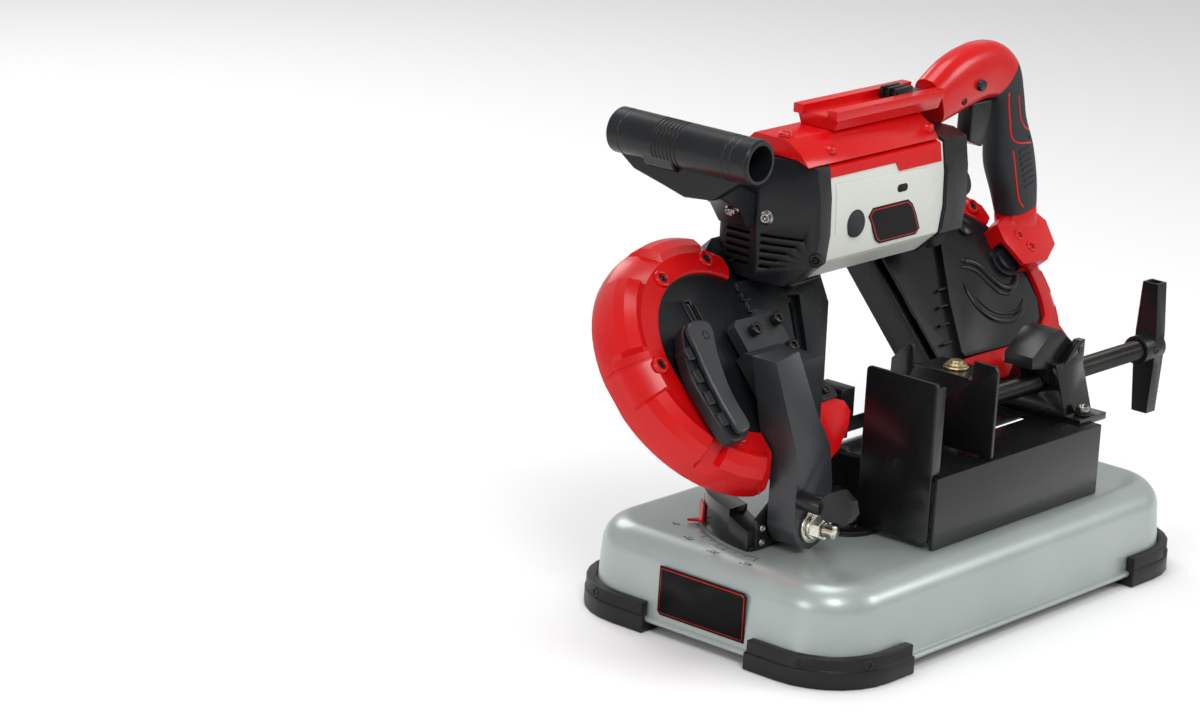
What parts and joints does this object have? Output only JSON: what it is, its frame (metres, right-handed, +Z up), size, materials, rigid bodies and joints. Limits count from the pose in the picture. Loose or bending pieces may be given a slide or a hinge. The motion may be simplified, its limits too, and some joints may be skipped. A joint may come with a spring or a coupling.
{
  "type": "horizontal band saw",
  "caption": "Cordless deep-cut band saw head on a pressed-steel bench stand, with a swivelling mitre table, a lifting arm and a screw vice",
  "frame": {"origin": "centre of the bounding box seen from above, on the floor under the feet", "axes": "+X along the long side of the base toward the drive wheel and vice handle, +Y away from the vice side, +Z up"},
  "size_m": [0.6026, 0.306, 0.4435],
  "materials": {
    "base_paint": "satin grey-green silver paint on pressed steel",
    "rubber": "matt black moulded rubber",
    "black_steel": "satin black paint on steel",
    "zinc": "bright zinc plate with a yellow tint",
    "black_plastic": "black glass-filled plastic",
    "black_casting": "black coated die casting",
    "steel": "bare and blackened steel",
    "wheel_aluminium": "machined aluminium",
    "red_plastic": "semi-gloss red plastic",
    "pale_plastic": "pale grey-silver satin plastic",
    "grip_rubber": "dark grey soft overmould"
  },
  "bodies": {
    "bench": {"base_pan": "base_paint", "foot_front_left": "rubber", "foot_front_right": "rubber", "foot_back_left": "rubber", "foot_back_right": "rubber", "vice_channel": "black_steel", "fixed_jaw": "black_steel", "screw_bracket": "black_steel", "bracket_bolt_front": "steel", "bracket_bolt_rear": "steel", "swivel_bolt": "steel", "half_nut_pin": "steel"},
    "mitre_knob": {"mitre_lock_knob": "black_plastic"},
    "table": {"turntable": "black_steel", "mitre_pointer": "red_plastic", "pivot_bolt": "zinc", "pivot_washer": "zinc", "pivot_nut": "zinc"},
    "head": {"saw_arm": "black_steel", "arm_screw_1": "steel", "arm_screw_2": "steel", "arm_screw_3": "steel", "left_wheel_cover": "black_plastic", "left_bumper": "red_plastic", "left_nose_guard": "red_plastic", "main_frame": "black_casting", "right_wheel_cover": "black_plastic", "right_bumper": "red_plastic", "idler_axle": "steel", "drive_axle": "steel", "saw_blade": "steel", "motor_casing": "pale_plastic", "left_motor_collar": "black_plastic", "right_motor_collar": "black_plastic", "top_cover": "red_plastic", "battery_shoe": "red_plastic", "contact_block": "black_plastic", "rear_handle_beam": "red_plastic", "handle_grip": "grip_rubber", "rear_handle_base": "red_plastic", "aux_handle": "black_plastic", "left_guide_bracket": "black_plastic", "right_guide_bracket": "black_plastic", "left_front_guide_bearing": "steel", "left_rear_guide_bearing": "steel", "right_front_guide_bearing": "steel", "right_rear_guide_bearing": "steel"},
    "wing": {"wing_knob": "black_plastic"},
    "lever": {"tension_lever": "black_plastic"},
    "idler": {"idler_wheel": "wheel_aluminium"},
    "drive": {"drive_wheel": "wheel_aluminium"},
    "intermediate": {"intermediate_gear": "steel"},
    "rotor": {"motor_rotor": "steel"},
    "trigger": {"trigger": "black_plastic"},
    "lock_off": {"lock_off_button": "black_plastic"},
    "jaw": {"moving_jaw": "black_steel", "jaw_swivel_bolt": "zinc"},
    "screw": {"vice_screw": "black_steel", "tee_handle": "black_plastic"},
    "half_nut": {"half_nut": "black_plastic"}
  },
  "joints": [
    {"name": "mitre_swivel", "type": "hinge", "parent": "bench", "child": "table", "pos_m": [-0.09575, -0.022, 0.082], "axis": [0, 0, 1], "range_deg": [0, 45]},
    {"name": "head_lift", "type": "hinge", "parent": "table", "child": "head", "pos_m": [-0.17575, -0.036, 0.103], "axis": [0, -1, 0], "range_deg": [0, 35]},
    {"name": "mitre_knob_turn", "type": "hinge", "parent": "bench", "child": "mitre_knob", "pos_m": [-0.11575, -0.022, 0.1], "axis": [0, 0, 1], "range_deg": [-90, 90]},
    {"name": "wing_knob_turn", "type": "hinge", "parent": "head", "child": "wing", "pos_m": [-0.19075, -0.052, 0.128], "axis": [0, -1, 0], "range_deg": [-60, 60]},
    {"name": "tension_lever_swing", "type": "hinge", "parent": "head", "child": "lever", "pos_m": [-0.22875, 0.0308, 0.24845], "axis": [0, -0.7431, 0.6691], "range_deg": [-160, 0]},
    {"name": "drive_spin", "type": "hinge", "parent": "head", "child": "drive", "pos_m": [0.14625, 0.0545, 0.215], "axis": [0, -0.7431, 0.6691], "continuous": true},
    {"name": "idler_spin", "type": "hinge", "parent": "head", "child": "idler", "pos_m": [-0.18675, 0.0545, 0.215], "axis": [0, -0.7431, 0.6691], "continuous": true},
    {"name": "intermediate_spin", "type": "hinge", "parent": "head", "child": "intermediate", "pos_m": [0.11625, 0.08788, 0.2969], "axis": [0, -0.7431, 0.6691], "continuous": true},
    {"name": "rotor_spin", "type": "hinge", "parent": "head", "child": "rotor", "pos_m": [-0.00375, 0.06001, 0.322], "axis": [1, 0, 0], "continuous": true},
    {"name": "trigger_squeeze", "type": "slide", "parent": "head", "child": "trigger", "axis": [1, 0, 0], "range_m": [0, 0.005], "stiffness_N_per_m": 1200},
    {"name": "lock_off_push", "type": "slide", "parent": "head", "child": "lock_off", "axis": [0, 1, 0], "range_m": [-0.003, 0.003], "stiffness_N_per_m": 800},
    {"name": "jaw_slide", "type": "slide", "parent": "bench", "child": "jaw", "axis": [1, 0, 0], "range_m": [-0.045, 0.05]},
    {"name": "screw_spin", "type": "hinge", "parent": "jaw", "child": "screw", "pos_m": [0.14625, -0.0575, 0.17], "axis": [1, 0, 0], "range_deg": [-5760, 6300]},
    {"name": "half_nut_lift", "type": "hinge", "parent": "bench", "child": "half_nut", "pos_m": [0.15025, -0.0575, 0.198], "axis": [0, 1, 0], "range_deg": [0, 50]}
  ],
  "couplings": [
    {"joint": "idler_spin", "follows": "drive_spin", "ratio": 1},
    {"joint": "intermediate_spin", "follows": "drive_spin", "ratio": -3.977},
    {"joint": "rotor_spin", "follows": "drive_spin", "ratio": 3.977},
    {"joint": "screw_spin", "follows": "jaw_slide", "rad_per_m": 2094.4}
  ]
}
